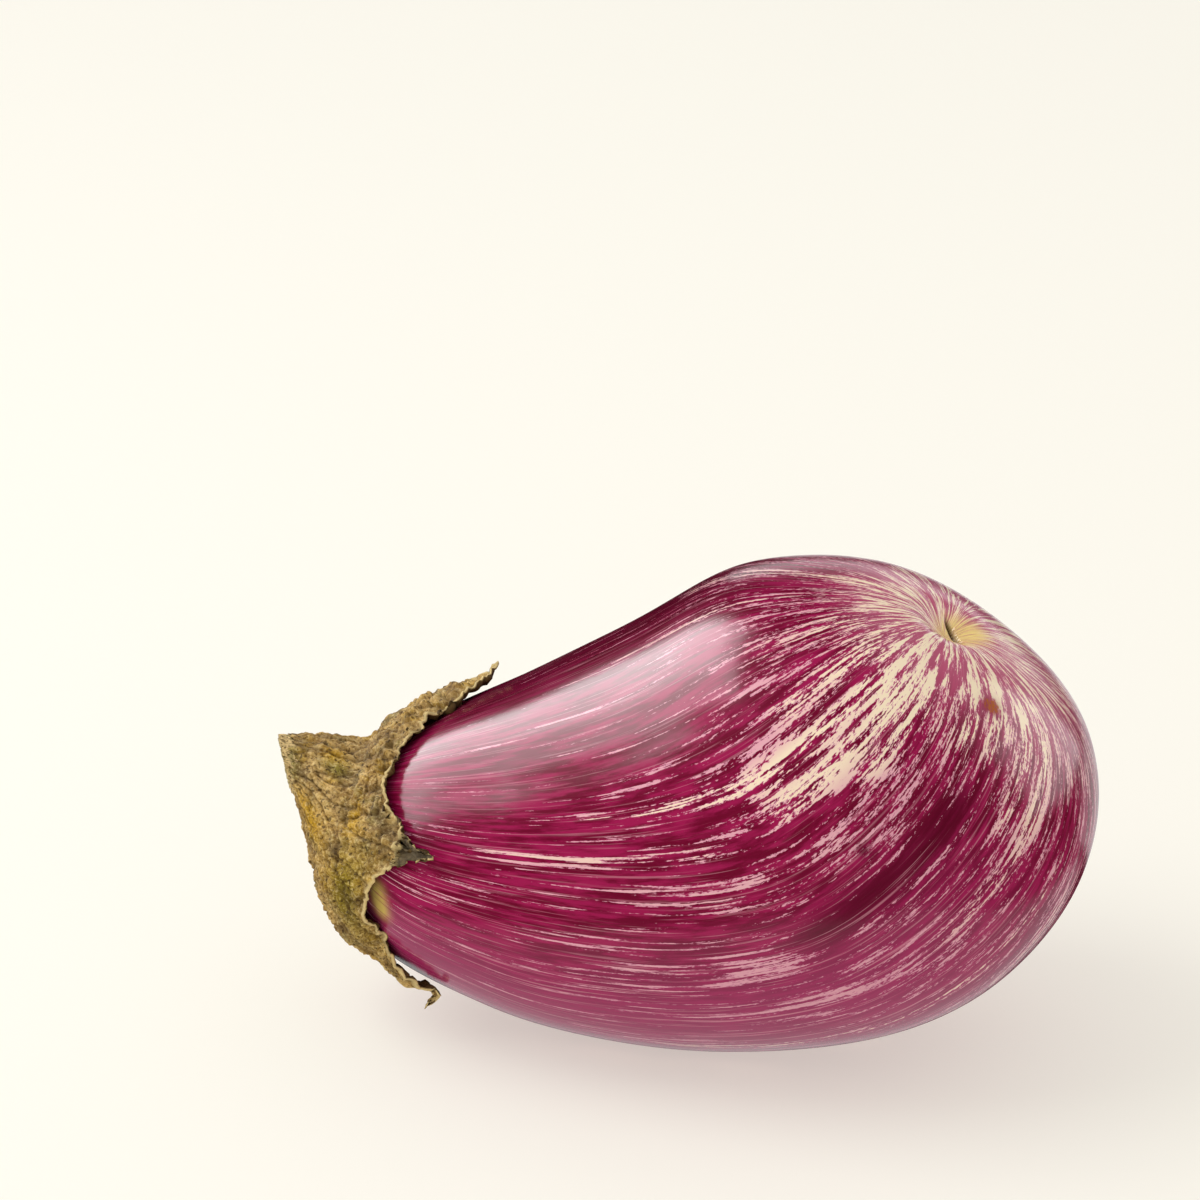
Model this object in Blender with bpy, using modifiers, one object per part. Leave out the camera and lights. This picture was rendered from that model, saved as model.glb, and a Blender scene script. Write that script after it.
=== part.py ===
"""A striped eggplant lying on its side: the fruit, its leafy cap and its cut stem.

Metres, with +Z up and +X running from the stem to the blossom end. The middle
plane of the fruit is XZ. A turn round the fruit starts at its upper side and
goes towards -Y. A slope runs over the fruit from 0 at its stem end to 180
degrees at its blossom end.
"""
import math

import bmesh
import bpy
from mathutils import Matrix, Vector

MM = 0.001
UP = Vector((0.0, 0.0, 1.0))
SIDE = Vector((0.0, -1.0, 0.0))

# Fruit: a bent middle line, square-leaning rings on it, and the reach above and below it
LINE_LENGTH = 139 * MM
LINE_START_TILT = -18.0
LINE_END_TILT = 67.0
LINE_LATE_BEND = 0.3
RING_LEAN = 4.0
UPPER_FULLNESS = (28, 35.5, 38, 41, 47, 56, 72)
LOWER_FULLNESS = (30, 39, 38, 45, 62, 76.5, 96)
REST_CUT = 1.4 * MM

# Shallow flutes on the neck, and broader lobes at the blossom end
FLUTE_COUNT = 5
FLUTE_DEPTH = 0.4 * MM
FLUTE_TURN = 58.0
FLUTE_SLOPE = 45.0
FLUTE_SPREAD = 22.0
BLOSSOM_LOBE_COUNT = 3
BLOSSOM_LOBE_DEPTH = 1.2 * MM
BLOSSOM_LOBE_SLOPE = 160.0
BLOSSOM_LOBE_SPREAD = 26.0

# Sunken scar at the blossom end
SCAR_DEPTH = 3.4 * MM
SCAR_RADIUS = 5.5 * MM

# Cut stem, seen from the fruit's stem end
STEM_RADIUS = 5.8 * MM
STEM_FORWARD = -9.7 * MM
STEM_RAISED = 7.2 * MM
CUT_FACING = (-0.95, -0.25, -0.18)
CUT_EDGE_ROUND = 0.5 * MM

# Leafy cap: its skin leaves the cut rim and comes to its shoulder in two even bends
CAP_THICKNESS = 1.0 * MM
GAP = 0.3 * MM
RIM_BEND = 5.0 * MM
SHOULDER_BEND = 11.0 * MM
SHOULDER_SLOPE = 25.0
SHOULDER_RISE = 3.4 * MM
EDGE_RISE = 1.5 * MM
COLLAR_SHARE = 0.35
LEDGE_SHARE = 0.31
RIB_HEIGHT = 0.5 * MM
RIB_WIDTH_SHARE = 0.16
WAVE_HEIGHT = 0.35 * MM
WAVE_COUNT = 3
# One row a lobe: turn of the tip, turn of the notch after it, slope of the notch before it,
# slope of the tip, lift of the tip, sharpness along it and across it
LOBES = (
    (-22.0, 40.0, 33.0, 56.5, 2.2 * MM, 2.4, 1.8),
    (75.0, 101.0, 31.0, 48.5, 0.4 * MM, 1.5, 1.5),
    (150.0, 184.0, 35.5, 56.0, 0.6 * MM, 1.3, 1.0),
    (214.0, 243.0, 36.0, 52.0, 0.8 * MM, 1.8, 1.4),
    (273.0, 302.0, 34.0, 54.0, 1.4 * MM, 2.0, 1.6),
)

# Mesh rows and columns
FRUIT_COLUMNS = 56
FRUIT_ROWS = 42
FRUIT_CROWDING = 1.4
CAP_COLUMNS = 90
CAP_ROWS = 11
CAP_COLLAR_ROW_SHARE = 0.36
STEM_COLUMNS = 36
STEM_FACE_ROWS = 3
STEM_BARE_ROWS = 5
STEM_HIDDEN_ROWS = 7
STEM_SEAT_ROWS = 5
BARE_START_SHARE = 0.04
HIDDEN_END_SHARE = 0.97
SHARP_ANGLE = 35.0


def clear_scene():
    for item in list(bpy.data.objects):
        bpy.data.objects.remove(item, do_unlink=True)


def clamp(value, low=0.0, high=1.0):
    return max(low, min(high, value))


def smooth(share):
    share = clamp(share)
    return share * share * (3.0 - 2.0 * share)


def mix(start, end, share):
    return start + (end - start) * share


def bell(offset, spread):
    return math.exp(-(offset / spread) ** 2)


def between(stations, share):
    """A smooth curve through evenly spaced stations, level at both ends."""
    place = clamp(share) * (len(stations) - 1)
    first = min(int(place), len(stations) - 2)
    q = place - first
    before = stations[abs(first - 1)]
    start, end = stations[first], stations[first + 1]
    after = stations[first + 2] if first + 2 < len(stations) else stations[first]
    return 0.5 * (
        2 * start
        + (end - before) * q
        + (2 * before - 5 * start + 4 * end - after) * q ** 2
        + (3 * start - before - 3 * end + after) * q ** 3
    )


def line_tilt(share):
    late = share - LINE_LATE_BEND * share * (1.0 - share)
    return math.radians(mix(LINE_START_TILT, LINE_END_TILT, late))


def trace_line(steps=400):
    """The bent middle line as evenly spaced points in XZ."""
    point = Vector((0.0, 0.0, 0.0))
    points = [point.copy()]
    for step in range(steps):
        tilt = line_tilt((step + 0.5) / steps)
        point += Vector((math.cos(tilt), 0.0, math.sin(tilt))) * (LINE_LENGTH / steps)
        points.append(point.copy())
    return points


LINE = trace_line()


def line_point(share):
    place = clamp(share) * (len(LINE) - 1)
    first = min(int(place), len(LINE) - 2)
    return LINE[first].lerp(LINE[first + 1], place - first)


def fruit_point(slope, turn):
    """A point of the fruit's skin, for a slope and a turn in radians."""
    share = (1.0 - math.cos(slope)) / 2.0
    tilt = line_tilt(share) - math.radians(RING_LEAN)
    across = Vector((-math.sin(tilt), 0.0, math.cos(tilt)))
    upper = between(UPPER_FULLNESS, slope / math.pi) * MM
    lower = between(LOWER_FULLNESS, slope / math.pi) * MM
    fullness = mix(lower, upper, (1.0 + math.cos(turn)) / 2.0)
    reach = fullness * math.sin(slope)
    neck = bell(math.degrees(slope) - FLUTE_SLOPE, FLUTE_SPREAD)
    reach -= FLUTE_DEPTH * neck * math.cos(FLUTE_COUNT * (turn - math.radians(FLUTE_TURN)))
    away = math.pi - slope
    end = bell(math.degrees(slope) - BLOSSOM_LOBE_SLOPE, BLOSSOM_LOBE_SPREAD)
    end *= smooth(away / math.radians(BLOSSOM_LOBE_SPREAD))
    reach -= BLOSSOM_LOBE_DEPTH * end * math.cos(BLOSSOM_LOBE_COUNT * turn)
    point = line_point(share) + (across * math.cos(turn) + SIDE * math.sin(turn)) * reach
    inward = Vector((math.cos(tilt), 0.0, math.sin(tilt))) * -SCAR_DEPTH
    return point + inward * bell(fullness * away, SCAR_RADIUS)


def fruit_normal(slope, turn):
    """The direction out of the skin; at the stem end all turns share one."""
    step = 0.002
    slope = max(slope, 5 * step)
    along = fruit_point(slope + step, turn) - fruit_point(slope - step, turn)
    around = fruit_point(slope, turn + step) - fruit_point(slope, turn - step)
    return around.cross(along).normalized()


def rim_point(turn):
    """A point of the stem's cut rim."""
    facing = Vector(CUT_FACING).normalized()
    up = (UP - facing * UP.dot(facing)).normalized()
    side = up.cross(facing)
    centre = Vector((STEM_FORWARD, 0.0, STEM_RAISED))
    return centre + (up * math.cos(turn) + side * math.sin(turn)) * STEM_RADIUS


def cap_skin(down, turn):
    """The outer skin from the cut rim, 0, to the shoulder of the cap, 1."""
    slope = math.radians(SHOULDER_SLOPE)
    step = 0.01
    start = rim_point(turn)
    end = fruit_point(slope, turn) + fruit_normal(slope, turn) * SHOULDER_RISE
    leave = Vector(CUT_FACING).normalized() * -RIM_BEND
    arrive = (fruit_point(slope + step, turn) - fruit_point(slope, turn)).normalized() * SHOULDER_BEND
    return (
        start * (2 * down ** 3 - 3 * down ** 2 + 1)
        + leave * (down ** 3 - 2 * down ** 2 + down)
        + end * (3 * down ** 2 - 2 * down ** 3)
        + arrive * (down ** 3 - down ** 2)
    )


def cap_skin_normal(down, turn):
    step = 0.01
    along = cap_skin(down + step, turn) - cap_skin(down - step, turn)
    around = cap_skin(down, turn + step) - cap_skin(down, turn - step)
    return around.cross(along).normalized()


def lobe_at(turn):
    """The lobe that a turn falls in, how far across it (0 at the tip, 1 at a notch), and that half's width."""
    degrees = math.degrees(turn) % 360.0
    for index, lobe in enumerate(LOBES):
        before = LOBES[index - 1][1]
        tip, after = lobe[0], lobe[1]
        while before > tip:
            before -= 360.0
        local = (degrees - before) % 360.0
        if local <= after - before:
            offset = local + before - tip
            width = after - tip if offset > 0 else tip - before
            return index, abs(offset) / width, math.radians(math.copysign(width, offset))
    raise ValueError("no lobe at this turn")


def cap_blade(along, turn):
    """The outer skin from the shoulder of the cap, 0, to the edge of its lobes, 1."""
    index, across, width = lobe_at(turn)
    tip_turn, _, notch_slope, tip_slope, lift, fall, pinch = LOBES[index]
    if width > 0:
        notch_slope = LOBES[(index + 1) % len(LOBES)][2]
    reach = clamp(1.0 - across) ** fall
    edge = mix(notch_slope, tip_slope, reach)
    slope = math.radians(mix(SHOULDER_SLOPE, edge, along))
    edge_turn = math.radians(tip_turn) + width * across ** pinch
    start_turn = math.radians(tip_turn) + width * across
    real_turn = mix(start_turn, edge_turn, smooth(along))
    rise = mix(SHOULDER_RISE, EDGE_RISE, smooth(along))
    rise += lift * reach * along ** 2
    rise += RIB_HEIGHT * bell(across, RIB_WIDTH_SHARE) * along * (1.0 - along)
    rise += WAVE_HEIGHT * along ** 2 * (1.0 + math.sin(WAVE_COUNT * math.pi * across)) / 2.0
    return fruit_point(slope, real_turn) + fruit_normal(slope, real_turn) * rise


def finish(name, form):
    """Make the form an object, shaded smooth."""
    mesh = bpy.data.meshes.new(name)
    form.to_mesh(mesh)
    form.free()
    mesh.shade_smooth()
    item = bpy.data.objects.new(name, mesh)
    bpy.context.scene.collection.objects.link(item)
    return item


def sphere_form(name, columns, rows, place):
    """A closed round form: a sphere whose points move to place(share, turn)."""
    form = bmesh.new()
    bmesh.ops.create_uvsphere(form, u_segments=columns, v_segments=rows, radius=1.0)
    for point in form.verts:
        share = math.acos(clamp(point.co.z, -1.0, 1.0)) / math.pi
        turn = math.atan2(point.co.y, point.co.x)
        point.co = place(share, turn)
    # The turn goes the other way round than on the sphere, which turns the faces inwards
    bmesh.ops.reverse_faces(form, faces=form.faces)
    return finish(name, form)


def fruit_place(share, turn):
    """Rings crowd towards the blossom end, where the scar is."""
    return fruit_point(math.pi * (1.0 - (1.0 - share) ** FRUIT_CROWDING), turn)


def make_fruit():
    fruit = sphere_form("fruit", FRUIT_COLUMNS, FRUIT_ROWS, fruit_place)
    cut_rest(fruit)
    return fruit


def cut_rest(fruit):
    """Cut a small flat spot under the fruit, square to +Z."""
    form = bmesh.new()
    form.from_mesh(fruit.data)
    lowest = min(point.co.z for point in form.verts)
    cut = bmesh.ops.bisect_plane(
        form,
        geom=form.verts[:] + form.edges[:] + form.faces[:],
        plane_co=(0.0, 0.0, lowest + REST_CUT),
        plane_no=(0.0, 0.0, -1.0),
        clear_outer=True,
    )
    edges = [item for item in cut["geom_cut"] if isinstance(item, bmesh.types.BMEdge)]
    bmesh.ops.holes_fill(form, edges=edges)
    bmesh.ops.recalc_face_normals(form, faces=form.faces)
    form.to_mesh(fruit.data)
    form.free()
    fruit.data.shade_smooth()
    fruit.data.set_sharp_from_angle(angle=math.radians(SHARP_ANGLE))


def make_cap():
    form = bmesh.new()
    bmesh.ops.create_grid(form, x_segments=CAP_COLUMNS, y_segments=CAP_ROWS, size=1.0)
    for point in form.verts:
        turn = math.pi * (point.co.x + 1.0)
        share = (point.co.y + 1.0) / 2.0
        if share < CAP_COLLAR_ROW_SHARE:
            down = mix(COLLAR_SHARE, 1.0, share / CAP_COLLAR_ROW_SHARE)
            point.co = cap_skin(down, turn)
        else:
            along = (share - CAP_COLLAR_ROW_SHARE) / (1.0 - CAP_COLLAR_ROW_SHARE)
            point.co = cap_blade(along, turn)
    bmesh.ops.remove_doubles(form, verts=form.verts, dist=0.01 * MM)
    bmesh.ops.recalc_face_normals(form, faces=form.faces)
    cap = finish("calyx", form)
    shell = cap.modifiers.new("Thickness", "SOLIDIFY")
    shell.thickness = CAP_THICKNESS
    shell.offset = -1.0
    return cap


def stem_place(share, turn):
    """The stem's outline: cut face, bare side, ledge under the cap, and seat on the fruit."""
    rows = STEM_FACE_ROWS + STEM_BARE_ROWS + STEM_HIDDEN_ROWS + STEM_SEAT_ROWS
    step = round(share * rows)
    if step <= STEM_FACE_ROWS:
        centre = Vector((STEM_FORWARD, 0.0, STEM_RAISED))
        out = step / STEM_FACE_ROWS * (1.0 - CUT_EDGE_ROUND / STEM_RADIUS)
        return centre.lerp(rim_point(turn), out)
    step -= STEM_FACE_ROWS
    if step <= STEM_BARE_ROWS:
        down = mix(BARE_START_SHARE, LEDGE_SHARE, (step - 1) / (STEM_BARE_ROWS - 1))
        return cap_skin(down, turn)
    step -= STEM_BARE_ROWS
    if step <= STEM_HIDDEN_ROWS:
        down = mix(LEDGE_SHARE, HIDDEN_END_SHARE, (step - 1) / (STEM_HIDDEN_ROWS - 1))
        return cap_skin(down, turn) - cap_skin_normal(down, turn) * (CAP_THICKNESS + GAP)
    step -= STEM_HIDDEN_ROWS
    slope = math.radians(SHOULDER_SLOPE * (1.0 - step / STEM_SEAT_ROWS))
    return fruit_point(slope, turn) + fruit_normal(slope, turn) * GAP


def make_stem():
    rows = STEM_FACE_ROWS + STEM_BARE_ROWS + STEM_HIDDEN_ROWS + STEM_SEAT_ROWS
    return sphere_form("stem", STEM_COLUMNS, rows, stem_place)


def finish_material(item, colour, roughness):
    material = bpy.data.materials.new(item.name)
    material.use_nodes = True
    shader = material.node_tree.nodes["Principled BSDF"]
    shader.inputs["Base Color"].default_value = (*colour, 1.0)
    shader.inputs["Roughness"].default_value = roughness
    shader.inputs["Metallic"].default_value = 0.0
    item.data.materials.append(material)


def set_down(items):
    """Put the middle of the whole plan at the origin, on Z = 0."""
    bpy.context.view_layer.update()
    graph = bpy.context.evaluated_depsgraph_get()
    points = []
    for item in items:
        mesh = item.evaluated_get(graph).to_mesh()
        points += [point.co.copy() for point in mesh.vertices]
    low = [min(point[axis] for point in points) for axis in range(3)]
    high = [max(point[axis] for point in points) for axis in range(3)]
    move = Vector((-(low[0] + high[0]) / 2, -(low[1] + high[1]) / 2, -low[2]))
    for item in items:
        item.data.transform(Matrix.Translation(move))


def main():
    clear_scene()
    collection = bpy.data.collections.new("eggplant")
    bpy.context.scene.collection.children.link(collection)
    fruit = make_fruit()
    cap = make_cap()
    stem = make_stem()
    finish_material(fruit, (0.22, 0.012, 0.06), 0.25)
    finish_material(cap, (0.38, 0.29, 0.13), 0.85)
    finish_material(stem, (0.42, 0.34, 0.17), 0.9)
    items = [fruit, cap, stem]
    set_down(items)
    for item in items:
        bpy.context.scene.collection.objects.unlink(item)
        collection.objects.link(item)


main()
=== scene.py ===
"""The looks of a striped eggplant: streaked glossy skin, a dry leafy cap and a cut stem.

Metres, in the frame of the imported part: +Z up, +X from the stem to the blossom end,
and XZ the middle plane of the fruit. A turn round the fruit starts at its upper side
and goes towards -Y. A slope runs over the fruit from 0 at its stem end to 180 degrees
at its blossom end, where its sunken scar is.
"""

import math

import bpy
import numpy as np
from mathutils import Matrix, Vector


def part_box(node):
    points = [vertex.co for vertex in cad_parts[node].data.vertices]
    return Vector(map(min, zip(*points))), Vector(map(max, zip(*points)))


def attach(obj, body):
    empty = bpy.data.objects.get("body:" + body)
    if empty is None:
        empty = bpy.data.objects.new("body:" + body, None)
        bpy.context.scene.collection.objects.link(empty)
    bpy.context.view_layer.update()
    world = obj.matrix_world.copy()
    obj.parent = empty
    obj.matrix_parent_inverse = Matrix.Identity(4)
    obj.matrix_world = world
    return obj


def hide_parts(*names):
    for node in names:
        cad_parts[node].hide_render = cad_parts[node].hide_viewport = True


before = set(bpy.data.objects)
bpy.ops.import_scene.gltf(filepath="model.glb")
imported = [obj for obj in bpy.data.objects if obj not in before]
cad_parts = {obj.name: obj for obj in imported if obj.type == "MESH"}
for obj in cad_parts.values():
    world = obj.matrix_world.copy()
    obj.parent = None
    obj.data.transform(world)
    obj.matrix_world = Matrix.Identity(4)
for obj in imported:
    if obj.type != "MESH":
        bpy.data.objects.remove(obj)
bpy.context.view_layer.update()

MM = 0.001
UP = np.array((0.0, 0.0, 1.0))
SIDE = np.array((0.0, -1.0, 0.0))

# Fruit: a bent middle line, square-leaning rings on it, and the reach above and below it
LINE_LENGTH = 139 * MM
LINE_START_TILT = -18.0
LINE_END_TILT = 67.0
LINE_LATE_BEND = 0.3
LINE_STEPS = 400
RING_LEAN = 4.0
UPPER_FULLNESS = (28, 35.5, 38, 41, 47, 56, 72)
LOWER_FULLNESS = (30, 39, 38, 45, 62, 76.5, 96)
FLUTE_COUNT = 5
FLUTE_DEPTH = 0.4 * MM
FLUTE_TURN = 58.0
FLUTE_SLOPE = 45.0
FLUTE_SPREAD = 22.0
BLOSSOM_LOBE_COUNT = 3
BLOSSOM_LOBE_DEPTH = 1.2 * MM
BLOSSOM_LOBE_SLOPE = 160.0
BLOSSOM_LOBE_SPREAD = 26.0
SCAR_DEPTH = 3.4 * MM
SCAR_RADIUS = 5.5 * MM

# Cut stem
STEM_RADIUS = 5.8 * MM
STEM_FORWARD = -9.7 * MM
STEM_RAISED = 7.2 * MM
CUT_FACING = (-0.95, -0.25, -0.18)

# Leafy cap
CAP_THICKNESS = 1.0 * MM
GAP = 0.3 * MM
RIM_BEND = 5.0 * MM
SHOULDER_BEND = 11.0 * MM
SHOULDER_SLOPE = 25.0
SHOULDER_RISE = 3.4 * MM
EDGE_RISE = 1.5 * MM
RIB_HEIGHT = 0.5 * MM
RIB_WIDTH_SHARE = 0.16
WAVE_HEIGHT = 0.35 * MM
WAVE_COUNT = 3
# One row a lobe: turn of the tip, turn of the notch after it, slope of the notch before it,
# slope of the tip, lift of the tip, sharpness along it and across it
LOBES = (
    (-23.0, 40.0, 33.0, 54.5, 0.8 * MM, 1.8, 1.15),
    (75.0, 101.0, 31.0, 48.5, 0.4 * MM, 1.5, 1.5),
    (150.0, 184.0, 36.8, 57.0, -0.6 * MM, 2.0, 1.25),
    (214.0, 243.0, 36.0, 52.0, 0.8 * MM, 1.8, 1.4),
    (273.0, 302.0, 34.0, 54.0, 1.4 * MM, 2.0, 1.6),
)

# Fine skin mesh and its small relief
SKIN_COLUMNS = 384
SKIN_ROWS = 250
SKIN_CROWDING = 1.5
SKIN_INSET = 0.16 * MM
SLACK_SIZE = 30 * MM
SLACK_HEIGHT = 0.1 * MM
FLAT_SOFTNESS = 0.25 * MM
SCAR_RIB_COUNT = 23
SCAR_RIB_HEIGHT = 0.07 * MM
SCAR_RIB_PLACE = 6.0 * MM
SCAR_RIB_SPREAD = 4.5 * MM
SCAR_SLIT_LENGTH = 5.4 * MM
SCAR_SLIT_WIDTH = 0.45 * MM
SCAR_SLIT_DEPTH = 1.4 * MM
SCAR_SLIT_TURN = 116.0
SCAR_SLIT_ASIDE = 1.9 * MM
SCAR_SLIT_BOW = 1.1 * MM
SCAR_TAN_ASIDE = 3.2 * MM
SCAR_TAN_RADIUS = 7.4 * MM
DENT = (126.0, 95.0)
DENT_RADIUS = 1.3 * MM
DENT_DEPTH = 0.4 * MM
BLEMISH = (163.0, 119.0)
BLEMISH_RADIUS = 2.2 * MM
NOTCH_PATCHES = ((35.8, 102.0), (37.2, 106.5), (38.6, 112.0))
NOTCH_PATCH_RADIUS = 1.9 * MM

# The streaks swing aside a little on their way to the scar
# One row a swing: how far, slopes where it starts and ends, turn where it is most, spread there
SWINGS = (
    (10.0, 60.0, 120.0, 88.0, 28.0),
    (30.0, 115.0, 180.0, 140.0, 40.0),
)
STREAK_RADIUS = 45.0
MOST_STREAKS = 0.8
FAN_RADIUS = 14.0
PLAIN_DENSITY = 0.28
# One row a change of density: how much, turn where it is most, spread there, slopes where it
# starts and is full
DENSITY_CHANGES = (
    (-0.12, 46.0, 26.0, 112.0, 82.0),
    (-0.2, 5.0, 30.0, 120.0, 90.0),
)
# One row a change of density all round: how much, slopes where it starts and is full
ROUND_CHANGES = (
    (0.4, 138.0, 172.0),
    (0.2, 156.0, 168.0),
    (-0.2, 110.0, 60.0),
)
# The broad area of the main band: density, turn, spread, slope, spread
MAIN_AREA = (0.26, 66.0, 42.0, 137.0, 32.0)
# The dark band: loss of density, turn, half width, slopes where it starts, is full, and ends again
DARK_BAND = (0.5, 96.5, 5.5, 104.0, 114.0, 142.0, 150.0)
LOW_SIDE_LOSS = 0.12
BAND_START_FADE = 10.0
BAND_END_FADE = 8.0
PLAIN_CREAM = 0.2
# One row a band of streaks: its turn, slopes where it starts and ends, half width, density, cream
BANDS = (
    (60.0, 62, 112, 1.1, 0.85, 1.0),
    (61.0, 98, 176, 2.3, 0.95, 1.0),
    (53.0, 122, 172, 4.0, 0.4, 0.9),
    (67.0, 110, 172, 3.6, 0.55, 1.0),
    (73.0, 130, 172, 2.4, 0.6, 0.9),
    (70.0, 50, 108, 1.2, 0.6, 0.7),
    (79.0, 78, 130, 3.0, 0.42, 0.3),
    (102.5, 60, 96, 1.4, 0.4, 0.3),
    (103.0, 92, 112, 4.0, 0.75, 0.2),
    (103.5, 112, 138, 2.4, 0.5, 0.2),
    (120.5, 85, 125, 3.4, 0.6, 0.2),
    (121.0, 120, 166, 3.2, 0.95, 0.6),
    (112.0, 138, 172, 2.2, 0.7, 0.9),
    (100.0, 148, 176, 2.6, 0.7, 0.9),
    (120.0, 140, 153, 4.0, 0.6, 0.5),
    (120.0, 158, 175, 2.5, 0.7, 0.9),
    (90.0, 148, 176, 2.5, 0.75, 1.0),
    (13.0, 78, 150, 1.3, 0.6, 0.6),
    (36.0, 125, 166, 5.0, 0.4, 0.6),
)
HIDDEN_BAND_COUNT = 16
HIDDEN_BAND_SEED = 11
HIDDEN_BAND_TURNS = (138.0, 362.0)

# Fine cap mesh and its relief
CAP_COLUMNS = 560
CAP_COLLAR_ROWS = 40
CAP_BLADE_ROWS = 70
CAP_START_SHARE = 0.22
CAP_START_RAGGED = 0.045
CAP_START_THICKNESS = 0.3 * MM
CAP_EDGE_THICKNESS = 0.6 * MM
CAP_EDGE_CURL = 0.6 * MM
SADDLE_DEPTH = 2.2 * MM
SADDLE = (-4.0, 0.76)
SADDLE_SPREAD = (50.0, 0.23)
STRAP_LOBE = 0
STRAP_CRUMPLE = 0.55 * MM
HOOKED_LOBE = 2
HOOK_BACK = 5.0 * MM
HOOK_OUT = 1.2 * MM
TORN_LOBE = 1
TORN_SLOPE = 40.5
# Stains of the cap: turn, how far down, and spread each way
STAINS = {
    "yellow": (
        (104.0, 0.5, 16.0, 0.25),
        (108.0, 1.35, 16.0, 0.35),
        (24.0, 0.6, 10.0, 0.1),
        (70.0, 1.1, 14.0, 0.12),
    ),
    "green": (
        (38.0, 0.64, 9.0, 0.12),
        (112.0, 1.45, 24.0, 0.4),
        (52.0, 0.2, 30.0, 0.1),
    ),
    "grey": (
        (65.0, 0.33, 9.0, 0.1),
        (69.0, 0.9, 9.0, 0.14),
        (66.0, 1.62, 8.0, 0.16),
        (95.0, 1.0, 7.0, 0.12),
    ),
}

# Stem mesh
STEM_COLUMNS = 320
STEM_FACE_ROWS = 34
STEM_SIDE_ROWS = 20
STEM_HIDDEN_ROWS = 12
STEM_SEAT_ROWS = 8
CUT_EDGE_ROUND = 0.5 * MM

# Camera, as it stands to the plain form's own middle
CAMERA_AROUND = 6.5
CAMERA_ABOVE = 23.0
CAMERA_DISTANCE = 1000 * MM
CAMERA_AIM = (62.55 * MM, 0.0, 0.0)
CAMERA_ASIDE = (10.6 * MM, -41.4 * MM)
CAMERA_LENS = 156.0
CAMERA_SENSOR = 36.0

# Stage
FLOOR_SIZE = 12.0
FLOOR_GLOW = 0.52
SKY_STRENGTH = 0.76
FRUIT_MIDDLE = Vector((0.0, 0.0, 0.045))


def mix(start, end, share):
    return start + (end - start) * share


def smooth(share):
    share = np.clip(share, 0.0, 1.0)
    return share * share * (3.0 - 2.0 * share)


def fade(value, start, end):
    """0 before start, 1 after end, smooth between; it runs backwards where end is the smaller."""
    return smooth((value - start) / (end - start))


def bell(offset, spread):
    return np.exp(-(offset / spread) ** 2)


def unit(vectors):
    return vectors / np.maximum(np.linalg.norm(vectors, axis=-1, keepdims=True), 1e-12)


def apart(turn, other):
    """How far a turn is from another, in degrees, the short way round."""
    return (np.degrees(turn) - other + 180.0) % 360.0 - 180.0


def ripples(points, size, seed, waves=24):
    """Smooth seeded noise between about -1 and 1, with bumps of about this size."""
    random = np.random.default_rng(seed)
    ways = unit(random.normal(size=(waves, 3)))
    lengths = size * random.uniform(0.7, 1.6, waves)
    phases = random.uniform(0.0, 2.0 * math.pi, waves)
    total = np.zeros(points.shape[:-1])
    for way, length, phase in zip(ways, lengths, phases):
        total += np.sin(points @ (way * 2.0 * math.pi / length) + phase)
    return total / math.sqrt(waves)


# The plain form


def between(stations, share):
    """A smooth curve through evenly spaced stations, level at both ends."""
    place = np.clip(share, 0.0, 1.0) * (len(stations) - 1)
    first = np.minimum(place.astype(int), len(stations) - 2)
    q = place - first
    held = np.array([stations[1], *stations, stations[-2]], float)
    before, start, end, after = (held[first + step] for step in range(4))
    return 0.5 * (
        2 * start
        + (end - before) * q
        + (2 * before - 5 * start + 4 * end - after) * q ** 2
        + (3 * start - before - 3 * end + after) * q ** 3
    )


def line_tilt(share):
    late = share - LINE_LATE_BEND * share * (1.0 - share)
    return np.radians(mix(LINE_START_TILT, LINE_END_TILT, late))


def along_line(tilt):
    return np.stack([np.cos(tilt), 0.0 * tilt, np.sin(tilt)], -1)


def trace_line():
    """The bent middle line as evenly spaced points in XZ."""
    tilt = line_tilt((np.arange(LINE_STEPS) + 0.5) / LINE_STEPS)
    steps = along_line(tilt) * LINE_LENGTH / LINE_STEPS
    return np.concatenate([np.zeros((1, 3)), np.cumsum(steps, 0)])


LINE = trace_line()


def line_point(share):
    marks = np.linspace(0.0, 1.0, len(LINE))
    return np.stack([np.interp(share, marks, LINE[:, axis]) for axis in range(3)], -1)


def fullness_at(slope, turn):
    upper = between(UPPER_FULLNESS, slope / math.pi) * MM
    lower = between(LOWER_FULLNESS, slope / math.pi) * MM
    return mix(lower, upper, (1.0 + np.cos(turn)) / 2.0)


def fruit_point(slope, turn):
    """Points of the fruit's plain skin, for slopes and turns in radians."""
    share = (1.0 - np.cos(slope)) / 2.0
    tilt = line_tilt(share) - math.radians(RING_LEAN)
    across = np.stack([-np.sin(tilt), 0.0 * tilt, np.cos(tilt)], -1)
    fullness = fullness_at(slope, turn)
    reach = fullness * np.sin(slope)
    neck = bell(np.degrees(slope) - FLUTE_SLOPE, FLUTE_SPREAD)
    reach = reach - FLUTE_DEPTH * neck * np.cos(FLUTE_COUNT * (turn - math.radians(FLUTE_TURN)))
    away = math.pi - slope
    end = bell(np.degrees(slope) - BLOSSOM_LOBE_SLOPE, BLOSSOM_LOBE_SPREAD)
    end = end * smooth(away / math.radians(BLOSSOM_LOBE_SPREAD))
    reach = reach - BLOSSOM_LOBE_DEPTH * end * np.cos(BLOSSOM_LOBE_COUNT * turn)
    out = across * np.cos(turn)[..., None] + SIDE * np.sin(turn)[..., None]
    sunk = SCAR_DEPTH * bell(fullness * away, SCAR_RADIUS)
    return line_point(share) + out * reach[..., None] - along_line(tilt) * sunk[..., None]


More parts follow.
